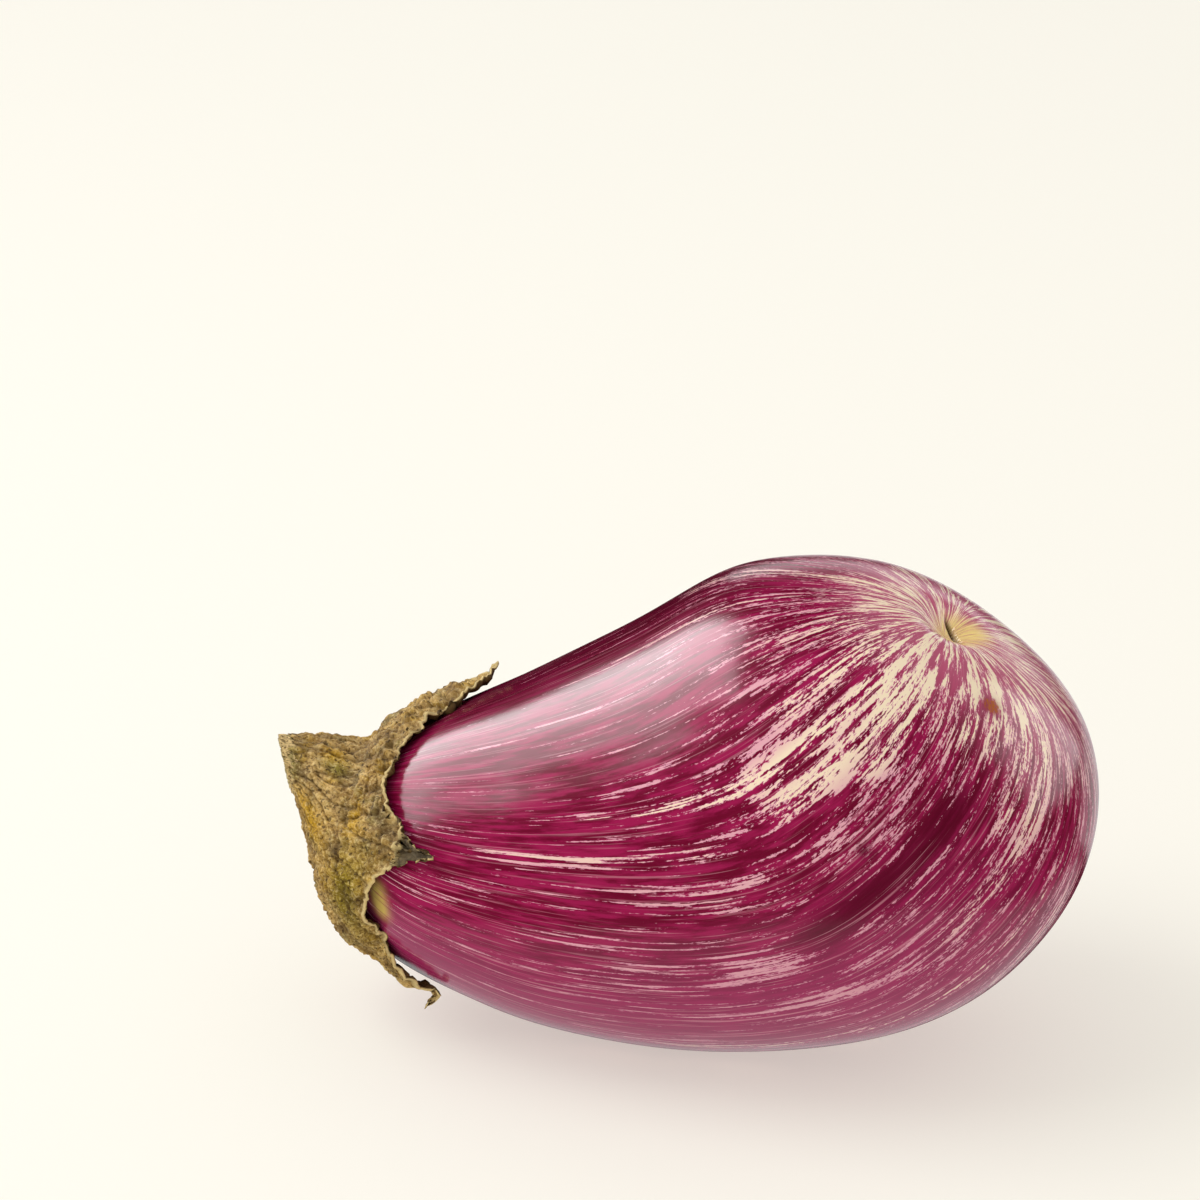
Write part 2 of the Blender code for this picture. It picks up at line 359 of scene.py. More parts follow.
def fruit_normal(slope, turn):
    step = 0.002
    slope = np.clip(slope, 5 * step, math.pi - 5 * step)
    along = fruit_point(slope + step, turn) - fruit_point(slope - step, turn)
    around = fruit_point(slope, turn + step) - fruit_point(slope, turn - step)
    return unit(np.cross(around, along))


def rim_point(turn, radius):
    """Points of the stem's cut face at this distance from its middle."""
    facing = unit(np.array(CUT_FACING))
    up = unit(UP - facing * facing[2])
    side = np.cross(up, facing)
    out = up * np.cos(turn)[..., None] + side * np.sin(turn)[..., None]
    return np.array((STEM_FORWARD, 0.0, STEM_RAISED)) + out * radius


def stain(down, turn, place):
    """1 in the middle of a stain or dent of the cap, falling to 0 around it."""
    middle_turn, middle_down, turn_spread, down_spread = place
    return bell(apart(turn, middle_turn), turn_spread) * bell(down - middle_down, down_spread)


def saddle(down, turn):
    """The cap sags between its cut rim and its upper lobe."""
    sag = SADDLE_DEPTH * stain(down, turn, (*SADDLE, *SADDLE_SPREAD))
    return -UP * sag[..., None]


def cap_start(turn):
    """How far down the ragged start of the cap's skin is."""
    marks = np.stack([8.0 * np.cos(turn), 8.0 * np.sin(turn), 0.0 * turn], -1)
    return CAP_START_SHARE + CAP_START_RAGGED * ripples(marks, 1.8, 24)


def cap_skin(down, turn):
    """The cap's outer skin from the cut rim, 0, to the shoulder, 1."""
    slope = np.full_like(turn, math.radians(SHOULDER_SLOPE))
    step = 0.01
    end = fruit_point(slope, turn) + fruit_normal(slope, turn) * SHOULDER_RISE
    leave = unit(np.array(CUT_FACING)) * -RIM_BEND
    arrive = unit(fruit_point(slope + step, turn) - fruit_point(slope, turn)) * SHOULDER_BEND
    q = down[..., None]
    return saddle(down, turn) + (
        rim_point(turn, STEM_RADIUS) * (2 * q ** 3 - 3 * q ** 2 + 1)
        + leave * (q ** 3 - 2 * q ** 2 + q)
        + end * (3 * q ** 2 - 2 * q ** 3)
        + arrive * (q ** 3 - q ** 2)
    )


def cap_skin_normal(down, turn):
    step = 0.01
    along = cap_skin(down + step, turn) - cap_skin(down - step, turn)
    around = cap_skin(down, turn + step) - cap_skin(down, turn - step)
    return unit(np.cross(around, along))


def lobe_values(turn):
    """For each turn: the lobe, the place across it (0 at the tip, 1 at a notch), and its sizes."""
    degrees = np.degrees(turn) % 360.0
    names = ("index", "across", "width", "tip", "notch_slope", "tip_slope", "lift", "fall", "pinch")
    values = {name: np.zeros_like(turn) for name in names}
    for index, (tip, after, notch_slope, tip_slope, lift, fall, pinch) in enumerate(LOBES):
        before = LOBES[index - 1][1]
        while before > tip:
            before -= 360.0
        next_slope = LOBES[(index + 1) % len(LOBES)][2]
        local = (degrees - before) % 360.0
        inside = local < after - before
        offset = (local + before - tip)[inside]
        width = np.where(offset > 0, after - tip, before - tip)
        values["index"][inside] = index
        values["across"][inside] = offset / width
        values["width"][inside] = np.radians(width)
        values["tip"][inside] = math.radians(tip)
        values["notch_slope"][inside] = np.where(offset > 0, next_slope, notch_slope)
        for name, value in zip(names[5:], (tip_slope, lift, fall, pinch)):
            values[name][inside] = value
    return values


def find_move():
    """The move from the plain form's own origin to the part's frame."""
    slope, turn = np.meshgrid(np.linspace(0.0, math.pi, 721), np.linspace(0.0, 2.0 * math.pi, 361))
    reach = fruit_point(slope, turn).max((0, 1))
    low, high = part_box("fruit")
    return np.array((high.x - reach[0], (low.y + high.y) / 2.0, high.z - reach[2]))


MOVE = find_move()


# Meshes


def grid_faces(rows, columns, ring=False):
    """Faces of a grid whose columns go round, and whose rows too where it is a ring."""
    row = np.arange(rows if ring else rows - 1)[:, None]
    column = np.arange(columns)[None, :]
    below = (row + 1) % rows
    beside = (column + 1) % columns
    above, under = row * columns, below * columns
    corners = [above + column, above + beside, under + beside, under + column]
    return np.stack(np.broadcast_arrays(*corners), -1).reshape(-1, 4).tolist()


def end_faces(rows, columns):
    """Triangles from the first and last rows of a grid to one point each, numbered after the grid."""
    first, last = rows * columns, rows * columns + 1
    faces = []
    for column in range(columns):
        beside = (column + 1) % columns
        faces.append([first, beside, column])
        faces.append([first - columns + column, first - columns + beside, last])
    return faces


def with_ends(values):
    """A grid's values as a list, with those of the two end points after them."""
    ends = [values[0].mean(0), values[-1].mean(0)]
    return np.concatenate([values.reshape(-1, *values.shape[2:]), np.array(ends)])


def make_piece(name, points, faces, values):
    """An object from points and faces, with a named value at each point."""
    mesh = bpy.data.meshes.new(name)
    mesh.from_pydata((points + MOVE).tolist(), [], faces)
    mesh.shade_smooth()
    for key, value in values.items():
        if value.ndim == 2:
            slot = mesh.attributes.new(key, "FLOAT_VECTOR", "POINT")
            slot.data.foreach_set("vector", value.astype(np.float32).ravel())
        else:
            slot = mesh.attributes.new(key, "FLOAT", "POINT")
            slot.data.foreach_set("value", value.astype(np.float32))
    item = bpy.data.objects.new(name, mesh)
    bpy.context.scene.collection.objects.link(item)
    return item


# Fruit


def streak_line(slope, turn):
    """The turn that names the streak which passes here."""
    degrees = np.degrees(slope)
    swing = np.zeros_like(turn)
    for most, start, end, middle, spread in SWINGS:
        swing += most * fade(degrees, start, end) * bell(apart(turn, middle), spread)
    return turn - np.radians(swing)


def hidden_bands():
    """Seeded bands for the sides that the front bands don't reach."""
    random = np.random.default_rng(HIDDEN_BAND_SEED)
    for index in range(HIDDEN_BAND_COUNT):
        turn = mix(*HIDDEN_BAND_TURNS, (index + random.uniform(0.1, 0.9)) / HIDDEN_BAND_COUNT)
        start = random.uniform(45.0, 110.0)
        end = start + random.uniform(40.0, 90.0)
        width = random.uniform(1.5, 4.5)
        strength = random.uniform(0.35, 0.75)
        yield turn, start, end, width, strength, random.uniform(0.2, 0.9)


def dark_band(slope, turn):
    """1 along a band of dark skin below the middle of the front, 0 elsewhere."""
    middle, width, start, full, fading, end = DARK_BAND[1:]
    degrees = np.degrees(slope)
    ends = fade(degrees, start, full) * fade(degrees, end, fading)
    return bell(apart(streak_line(slope, turn), middle), width) * ends


def streak_values(slope, turn):
    """How dense and how creamy the streaks are."""
    degrees = np.degrees(slope)
    line = streak_line(slope, turn)
    area, area_turn, area_width, area_slope, area_length = MAIN_AREA
    density = PLAIN_DENSITY - DARK_BAND[0] * dark_band(slope, turn)
    density += area * bell(apart(line, area_turn), area_width) * bell(degrees - area_slope, area_length)
    for change, start, full in ROUND_CHANGES:
        density += change * fade(degrees, start, full)
    for change, middle, spread, start, full in DENSITY_CHANGES:
        density += change * bell(apart(line, middle), spread) * fade(degrees, start, full)
    density -= LOW_SIDE_LOSS * fade(np.abs(apart(line, 0.0)), 90.0, 120.0) * fade(degrees, 110.0, 70.0)
    cream = mix(0.15, 1.0, fade(degrees, 140.0, 170.0))
    for band, start, end, width, strength, creamy in (*BANDS, *hidden_bands()):
        here = fade(degrees, start, start + BAND_START_FADE) * fade(degrees, end, end - BAND_END_FADE)
        here = here * bell(apart(line, band), width)
        density += strength * here
        cream += (creamy - PLAIN_CREAM) * here
    return MOST_STREAKS * (1.0 - np.exp(-density / MOST_STREAKS)), np.clip(cream, 0.0, 1.0)


def spot(points, place, radius):
    """1 at a place on the fruit given by its slope and turn, falling to 0 around it."""
    slope, turn = (np.array(math.radians(angle)) for angle in place)
    return bell(np.linalg.norm(points - fruit_point(slope, turn), axis=-1), radius)


def make_fruit():
    share = np.linspace(0.0, 1.0, SKIN_ROWS + 2)[1:-1]
    slope, turn = np.meshgrid(
        math.pi * (1.0 - (1.0 - share) ** SKIN_CROWDING),
        np.arange(SKIN_COLUMNS) * 2.0 * math.pi / SKIN_COLUMNS,
        indexing="ij",
    )
    plain = fruit_point(slope, turn)
    away = fullness_at(slope, turn) * (math.pi - slope)
    slack = SLACK_HEIGHT * (ripples(plain, SLACK_SIZE, 3) - 1.0)
    ribs = np.cos(SCAR_RIB_COUNT * turn + 2.5 * np.sin(3.0 * turn + 1.0))
    ribs = SCAR_RIB_HEIGHT * ribs * bell(away - SCAR_RIB_PLACE, SCAR_RIB_SPREAD)
    dent = spot(plain, DENT, DENT_RADIUS)
    rise = slack + ribs - SKIN_INSET - DENT_DEPTH * dent
    points = plain + fruit_normal(slope, turn) * rise[..., None]
    slit_along = away * np.cos(turn - math.radians(SCAR_SLIT_TURN))
    slit_across = away * np.sin(turn - math.radians(SCAR_SLIT_TURN))
    tan = np.hypot(slit_along, slit_across - SCAR_TAN_ASIDE) / SCAR_TAN_RADIUS
    slit_across = slit_across - SCAR_SLIT_ASIDE + SCAR_SLIT_BOW * (slit_along / SCAR_SLIT_LENGTH) ** 2
    slit = smooth(2.0 * (1.0 - np.abs(slit_along / SCAR_SLIT_LENGTH))) * bell(slit_across, SCAR_SLIT_WIDTH)
    points -= along_line(line_tilt(np.ones(1))) * (SCAR_SLIT_DEPTH * slit)[..., None]
    height = points[..., 2] + MOVE[2]
    points[..., 2] = (height + np.hypot(height, FLAT_SOFTNESS)) / 2.0 - MOVE[2]

    arc = np.cumsum(np.linalg.norm(np.diff(plain, axis=0, prepend=plain[:1]), axis=-1), 0) / MM
    line = streak_line(slope, turn)
    density, cream = streak_values(slope, turn)
    degrees = np.degrees(slope)
    values = {
        "streak": np.stack([arc, STREAK_RADIUS * np.cos(line), STREAK_RADIUS * np.sin(line)], -1),
        "fan": np.stack([arc, FAN_RADIUS * np.cos(line), FAN_RADIUS * np.sin(line)], -1),
        "streaky": density,
        "cream": cream,
        "near_scar": fade(degrees, 150.0, 172.0),
        "neck": fade(degrees, 128.0, 84.0),
        "scar": smooth(1.5 * (1.0 - tan)),
        # slit: where the scar's slit is carved; its dark colour is painted shade
        "slit": smooth(1.3 * slit),
        # The lower side's dusty plum: partly the skin's own paler tone, partly painted haze for light and
        # reflection from the bright floor
        "plum_and_floor_haze": fade(np.abs(apart(turn, 0.0)), 85.0, 125.0) * fade(degrees, 150.0, 110.0),
        "deep": bell(apart(turn, -6.0), 22.0) * fade(degrees, 150.0, 110.0) + dark_band(slope, turn),
        "dent": dent,
        "blemish": spot(plain, BLEMISH, BLEMISH_RADIUS),
        "patch": np.clip(sum(spot(plain, place, NOTCH_PATCH_RADIUS) for place in NOTCH_PATCHES), 0.0, 1.0),
    }
    values = {key: with_ends(value) for key, value in values.items()}
    faces = grid_faces(SKIN_ROWS, SKIN_COLUMNS) + end_faces(SKIN_ROWS, SKIN_COLUMNS)
    return make_piece("skin", with_ends(points), faces, values)


# Cap


def cap_outline(along, turn):
    """The slope and turn of the cap's blade, and how far its plain skin stands off the fruit."""
    lobe = lobe_values(turn)
    reach = np.clip(1.0 - lobe["across"], 0.0, 1.0) ** lobe["fall"]
    marks = np.stack([20.0 * np.cos(turn), 20.0 * np.sin(turn), 0.0 * turn], -1)
    ragged = 0.5 * ripples(marks, 3.4, 21) + 0.3 * ripples(marks, 1.2, 22)
    edge = mix(lobe["notch_slope"], lobe["tip_slope"], reach) + ragged - 0.5
    slope = mix(SHOULDER_SLOPE, edge, along)
    start_turn = lobe["tip"] + lobe["width"] * lobe["across"]
    edge_turn = lobe["tip"] + lobe["width"] * lobe["across"] ** lobe["pinch"]
    rise = mix(SHOULDER_RISE, EDGE_RISE, smooth(along))
    rise += lobe["lift"] * reach * along ** 2
    rise += RIB_HEIGHT * bell(lobe["across"], RIB_WIDTH_SHARE) * along * (1.0 - along)
    rise += WAVE_HEIGHT * along ** 2 * (1.0 + np.sin(WAVE_COUNT * math.pi * lobe["across"])) / 2.0
    rise += CAP_EDGE_CURL * smooth((along - 0.82) / 0.18)
    lobe["reach"] = reach * along
    return np.radians(slope), mix(start_turn, edge_turn, smooth(along)), rise, lobe


def grid_normals(points):
    """Outward directions of a grid whose columns go round."""
    around = np.roll(points, -1, 1) - np.roll(points, 1, 1)
    along = np.gradient(points, axis=0)
    return unit(np.cross(around, along))


def cracks(points, size, seed):
    """1 along narrow wandering creases that lie about this far apart, 0 between them."""
    return np.clip(1.0 - 1.7 * np.abs(ripples(points, size, seed)), 0.0, 1.0) ** 1.5


def make_cap():
    turn_row = np.arange(CAP_COLUMNS) * 2.0 * math.pi / CAP_COLUMNS
    collar_rows = np.linspace(0.0, 1.0, CAP_COLLAR_ROWS, endpoint=False)
    share, turn = np.meshgrid(collar_rows, turn_row, indexing="ij")
    down = mix(cap_start(turn), 1.0, share)
    collar = cap_skin(down, turn)
    along, blade_turn = np.meshgrid(np.linspace(0.0, 1.0, CAP_BLADE_ROWS), turn_row, indexing="ij")
    slope, real_turn, rise, lobe = cap_outline(along, blade_turn)
    blade = fruit_point(slope, real_turn) + fruit_normal(slope, real_turn) * rise[..., None]
    blade += saddle(1.0 + along, blade_turn)
    plain = np.concatenate([collar, blade])
    share = np.concatenate([share, np.ones_like(along)])
    turn = np.concatenate([turn, blade_turn])
    down = np.concatenate([down, 1.0 + along])
    along = np.clip(down - 1.0, 0.0, 1.0)
    index = np.concatenate([np.full_like(collar[..., 0], -1.0), lobe["index"]])
    reach = np.concatenate([np.zeros_like(collar[..., 0]), lobe["reach"]])
    degrees = np.concatenate([np.zeros_like(collar[..., 0]), np.degrees(slope)])
    thickness = mix(CAP_START_THICKNESS, CAP_THICKNESS, smooth(share / 0.3))
    thickness = mix(thickness, CAP_EDGE_THICKNESS, smooth(along * 1.2))

    # Creases run mostly along the cap, over fine grains and slow buckles
    arc = np.cumsum(np.linalg.norm(np.diff(plain, axis=0, prepend=plain[:1]), axis=-1), 0) / MM
    girth = np.stack([arc, 16.0 * np.cos(turn), 16.0 * np.sin(turn)], -1)
    place = plain / MM
    crease = cracks(girth * (0.45, 1.0, 1.0), 4.2, 31)
    fine_crease = cracks(place, 2.3, 32)
    relief = 0.3 - 0.6 * crease - 0.36 * fine_crease
    relief += 0.14 * ripples(place, 1.1, 33) + 0.2 * ripples(place, 2.2, 37)
    relief *= mix(0.4, 1.0, smooth(share / 0.35))
    relief += 0.42 * ripples(girth, 9.0, 34) * smooth((down - 0.3) / 0.7) * mix(1.0, 1.5, along)
    strap = ripples(girth, 7.0, 35) + 0.7 * ripples(place, 2.6, 38)
    relief += np.where(index == STRAP_LOBE, STRAP_CRUMPLE / MM * strap * smooth(along * 1.5), 0.0)
    tear = degrees - TORN_SLOPE - 0.7 * ripples(girth, 2.2, 36)
    torn = (index == TORN_LOBE) * smooth(tear / 0.4)
    lip = (index == TORN_LOBE) * bell(tear + 0.3, 0.5)
    relief += 0.9 * lip - 0.5 * torn
    outer = plain + grid_normals(plain) * (relief * MM)[..., None]

    # The lowest lobe ends in a hook that curls back
    hook = np.where(index == HOOKED_LOBE, fade(reach, 0.8, 1.0), 0.0)[..., None]
    outward = grid_normals(outer)
    outer += hook * (outward * HOOK_OUT - np.array((HOOK_BACK, 0.0, 0.0)) * hook)
    inner = outer - outward * thickness[..., None]
    edge = (outer[-1:] + inner[-1:]) / 2.0
    edge += unit(outer[-1:] - outer[-2:-1]) * CAP_EDGE_THICKNESS * 0.3
    back = slice(None, None, -2)
    points = np.concatenate([outer, edge, inner[back]])
    inner_rows = len(inner[back])

    def whole(outside, at_edge, inside):
        """One value for every row: outer skin, edge and inner skin."""
        return np.concatenate([
            outside, np.full((1, CAP_COLUMNS), at_edge), np.full((inner_rows, CAP_COLUMNS), inside)
        ]).ravel()

    values = {
        "grain": np.concatenate([place, place[-1:], place[back]]).reshape(-1, 3),
        "along": np.concatenate([girth, girth[-1:], girth[back]]).reshape(-1, 3),
        # crease darkens the colour along the cap's creases as painted shade; the inner side takes half of it
        "crease": whole(np.clip(0.8 * crease + 0.5 * fine_crease, 0.0, 1.0), 0.0, 0.5),
        "edge": whole(np.clip(smooth((along - 0.93) / 0.07) * (1.0 - torn) + lip, 0.0, 1.0), 1.0, 0.0),
        "torn": whole(torn, 0.0, 0.0),
        # under marks the cap's inner side, which is painted dark brown as shade under the cap
        "under": whole(np.zeros_like(along), 0.0, 1.0),
    }
    for name, places in STAINS.items():
        values[name] = whole(sum(stain(down, turn, place) for place in places), 0.0, 0.0)
    return make_piece(
        "calyx_leaf", points.reshape(-1, 3), grid_faces(len(points), CAP_COLUMNS, ring=True), values)


# Stem


def make_stem():
    turn_row = np.arange(STEM_COLUMNS) * 2.0 * math.pi / STEM_COLUMNS

    def spread(values):
        return np.meshgrid(values, turn_row, indexing="ij")

    facing = unit(np.array(CUT_FACING))
    out, turn = spread(np.linspace(0.0, 1.0, STEM_FACE_ROWS + 1)[1:])
    face = rim_point(turn, (out * (STEM_RADIUS - CUT_EDGE_ROUND))[..., None])
    fibres = np.stack([8.0 * out * np.cos(turn), 8.0 * out * np.sin(turn), 0.0 * turn], -1)
    sunk = 0.4 + 0.16 * ripples(fibres, 0.9, 41) + 0.16 * ripples(fibres, 2.6, 42)
    sunk += 0.3 * bell(out, 0.3) - 0.2 * bell(out - 0.92, 0.12) + 0.4 * bell(out - 1.0, 0.04)
    face -= facing * (np.clip(sunk, 0.02, None) * MM)[..., None]

    share, side_turn = spread(np.linspace(0.0, 1.0, STEM_SIDE_ROWS))
    start = cap_start(side_turn)
    down = mix(0.04, start + 0.05, share)
    round_marks = np.stack([7.0 * np.cos(side_turn), 7.0 * np.sin(side_turn), 8.0 * down], -1)
    ridges = 0.5 + 0.4 * ripples(round_marks, 1.2, 43) + 0.25 * ripples(round_marks * (1, 1, 2), 1.5, 44)
    inset = 0.03 + 0.4 * np.clip(ridges, 0.0, 1.2) + 0.4 * smooth((down - start) / 0.04)
    side = cap_skin(down, side_turn) - cap_skin_normal(down, side_turn) * (inset * MM)[..., None]

    down, hidden_turn = spread(np.linspace(CAP_START_SHARE + 0.12, 0.97, STEM_HIDDEN_ROWS))
    inset = mix(0.8 * MM, CAP_THICKNESS + 2.0 * GAP, smooth((down - 0.2) / 0.2))
    hidden = cap_skin(down, hidden_turn) - cap_skin_normal(down, hidden_turn) * inset[..., None]

    slope, seat_turn = spread(np.radians(np.linspace(SHOULDER_SLOPE, 0.5, STEM_SEAT_ROWS)))
    seat = fruit_point(slope, seat_turn) + fruit_normal(slope, seat_turn) * GAP
    points = np.concatenate([face, side, hidden, seat])
    rows = len(points)
    on_face = np.concatenate([out, np.full((rows - STEM_FACE_ROWS, STEM_COLUMNS), 2.0)])
    rest = np.zeros((rows - STEM_FACE_ROWS - STEM_SIDE_ROWS, STEM_COLUMNS, 3))
    marks = np.concatenate([fibres, round_marks, rest])
    values = {"out": with_ends(on_face), "grain": with_ends(marks), "place": with_ends(points / MM)}
    faces = grid_faces(rows, STEM_COLUMNS) + end_faces(rows, STEM_COLUMNS)
    return make_piece("stem_stub", with_ends(points), faces, values)


# Materials


def rgb(red, green, blue):
    """A screen colour of 0 to 255 as the linear colour that a shader takes."""
    def linear(value):
        value /= 255.0
        return value / 12.92 if value < 0.04045 else ((value + 0.055) / 1.055) ** 2.4
    return linear(red), linear(green), linear(blue), 1.0


class Paint:
    """A node material, with a short call for each kind of node."""

    def __init__(self, name):
        self.material = bpy.data.materials.new(name)
        self.material.use_nodes = True
        self.tree = self.material.node_tree
        self.shader = self.tree.nodes["Principled BSDF"]

    def put(self, socket, value):
        if isinstance(value, bpy.types.NodeSocket):
            self.tree.links.new(value, socket)
        else:
            socket.default_value = value

    def attribute(self, name, vector=False):
        made = self.tree.nodes.new("ShaderNodeAttribute")
        made.attribute_name = name
        return made.outputs["Vector" if vector else "Fac"]

    def math(self, operation, *values):
        made = self.tree.nodes.new("ShaderNodeMath")
        made.operation = operation
        for socket, value in zip(made.inputs, values):
            self.put(socket, value)
        return made.outputs[0]

    def scaled(self, value, factor, plus=0.0):
        return self.math("MULTIPLY_ADD", value, factor, plus)

    def slide(self, share, first, second):
        """The first value where share is 0, the second where it is 1."""
        return self.math("MULTIPLY_ADD", self.math("SUBTRACT", second, first), share, first)

    def noise(self, vector, sizes, detail=2.0, roughness=0.5):
        """Noise whose cells have these sizes along the vector's three directions."""
        scale = self.tree.nodes.new("ShaderNodeVectorMath")
        scale.operation = "MULTIPLY"
        self.put(scale.inputs[0], vector)
        scale.inputs[1].default_value = [1.0 / size for size in sizes]
        made = self.tree.nodes.new("ShaderNodeTexNoise")
        self.put(made.inputs["Vector"], scale.outputs[0])
        made.inputs["Scale"].default_value = 1.0
        made.inputs["Detail"].default_value = detail
        made.inputs["Roughness"].default_value = roughness
        return made.outputs[0]

    def step(self, value, low, high):
        """0 below low, 1 above high, smooth between."""
        made = self.tree.nodes.new("ShaderNodeMapRange")
        made.interpolation_type = "SMOOTHSTEP"
        self.put(made.inputs["Value"], value)
        self.put(made.inputs["From Min"], low)
        self.put(made.inputs["From Max"], high)
        return made.outputs[0]

    def blend(self, share, first, second):
        made = self.tree.nodes.new("ShaderNodeMix")
        made.data_type = "RGBA"
        self.put(made.inputs[0], share)
        self.put(made.inputs[6], first)
        self.put(made.inputs[7], second)
        return made.outputs[2]

    def bump(self, height, distance, strength=1.0):
        made = self.tree.nodes.new("ShaderNodeBump")
        made.inputs["Strength"].default_value = strength
        made.inputs["Distance"].default_value = distance
        self.put(made.inputs["Height"], height)
        self.tree.links.new(made.outputs[0], self.shader.inputs["Normal"])

    def finish(self, colour, roughness, **settings):
        self.put(self.shader.inputs["Base Color"], colour)
        self.put(self.shader.inputs["Roughness"], roughness)
        for name, value in settings.items():
            self.shader.inputs[name.replace("_", " ")].default_value = value
        return self.material


def skin_material():
    paint = Paint("striped_skin")
    streak = paint.attribute("streak", vector=True)
    fan = paint.attribute("fan", vector=True)
    near = paint.attribute("near_scar")
    neck = paint.attribute("neck")
    density = paint.attribute("streaky")
    cream = paint.attribute("cream")

    # Skin between the streaks
    tone = paint.noise(streak, (12.0, 1.7, 1.7), 5.0, 0.62)
    tone = paint.step(tone, 0.4, 0.62)
    skin = paint.blend(tone, rgb(112, 6, 44), rgb(160, 24, 80))
    # Dusty plum on the lower side: partly the skin's own paler tone there, partly painted haze standing in
    # for the bright floor's light and reflection
    plum_and_floor_haze = paint.math("MULTIPLY", paint.attribute("plum_and_floor_haze"), 0.75)
    skin = paint.blend(plum_and_floor_haze, skin, rgb(158, 38, 94))
    deep = paint.math("MULTIPLY", paint.attribute("deep"), 0.8)
    skin = paint.blend(deep, skin, rgb(86, 2, 30))
    end = paint.math("MULTIPLY", near, 0.72)
    skin = paint.blend(end, skin, rgb(204, 108, 138))

    # Long hairlines
    hair = paint.noise(streak, (30.0, 0.5, 0.5), 3.0, 0.6)
    hair_strength = paint.scaled(paint.attribute("plum_and_floor_haze"), 0.25, 0.35)
    hair = paint.math("MULTIPLY", paint.step(hair, 0.56, 0.68), hair_strength)
    skin = paint.blend(hair, skin, rgb(222, 150, 168))

    # Dry-brush flecks: strokes broken up finely, gathered where the bands are
    clusters = paint.noise(streak, (14.0, 3.0, 3.0), 2.0, 0.5)
    strokes = paint.noise(streak, (12.0, 0.9, 0.9), 4.0, 0.62)
    lines = paint.noise(streak, (30.0, 0.8, 0.8), 3.0, 0.6)
    rays = paint.noise(fan, (9.0, 0.7, 0.7), 4.0, 0.65)
    broken = paint.noise(streak, (1.1, 0.36, 0.36), 3.0, 0.65)
    value = paint.scaled(clusters, 0.14, paint.scaled(strokes, 0.56, paint.math("MULTIPLY", broken, 0.3)))
    long = paint.scaled(clusters, 0.14, paint.scaled(lines, 0.72, paint.math("MULTIPLY", broken, 0.14)))
    close = paint.scaled(rays, 0.78, paint.math("MULTIPLY", broken, 0.22))
    value = paint.slide(neck, value, long)
    value = paint.slide(near, value, close)
    limit = paint.scaled(density, -0.18, 0.605)
    over = paint.math("SUBTRACT", value, limit)
    mask = paint.step(over, -0.012, 0.01)
    core = paint.math("MULTIPLY", paint.step(over, 0.006, 0.032), cream)
    # Flecks on the lower side are a softer pink, following the same partly painted lower-side tone
    soft = paint.blend(plum_and_floor_haze, rgb(226, 154, 178), rgb(204, 126, 156))
    fleck = paint.blend(core, soft, rgb(250, 230, 200))
    colour = paint.blend(mask, skin, fleck)

    # Scar, slit, blemish, dent and the pale patch under the cap; the slit's dark brown is painted shade in
    # its carved recess
    scar = paint.math("MULTIPLY", paint.attribute("scar"), paint.step(rays, 0.34, 0.54))
    colour = paint.blend(scar, colour, rgb(242, 214, 140))
    colour = paint.blend(paint.attribute("slit"), colour, rgb(70, 40, 10))
    blemish = paint.attribute("blemish")
    colour = paint.blend(paint.math("MULTIPLY", blemish, 0.65), colour, rgb(126, 26, 50))
    spot = paint.step(paint.math("MULTIPLY", blemish, paint.scaled(broken, 3.0, -0.7)), 0.3, 0.7)
    colour = paint.blend(spot, colour, rgb(170, 88, 30))
    colour = paint.blend(paint.math("MULTIPLY", paint.attribute("dent"), 0.8), colour, rgb(80, 6, 30))
    patch = paint.math("MULTIPLY", paint.attribute("patch"), paint.step(strokes, 0.25, 0.5))
    colour = paint.blend(patch, colour, rgb(216, 188, 104))

    roughness = paint.scaled(strokes, 0.1, 0.13)
    paint.bump(paint.noise(streak, (0.9, 0.5, 0.5), 2.0, 0.6), 0.03 * MM, 0.5)
    return paint.finish(colour, roughness, IOR=1.39)


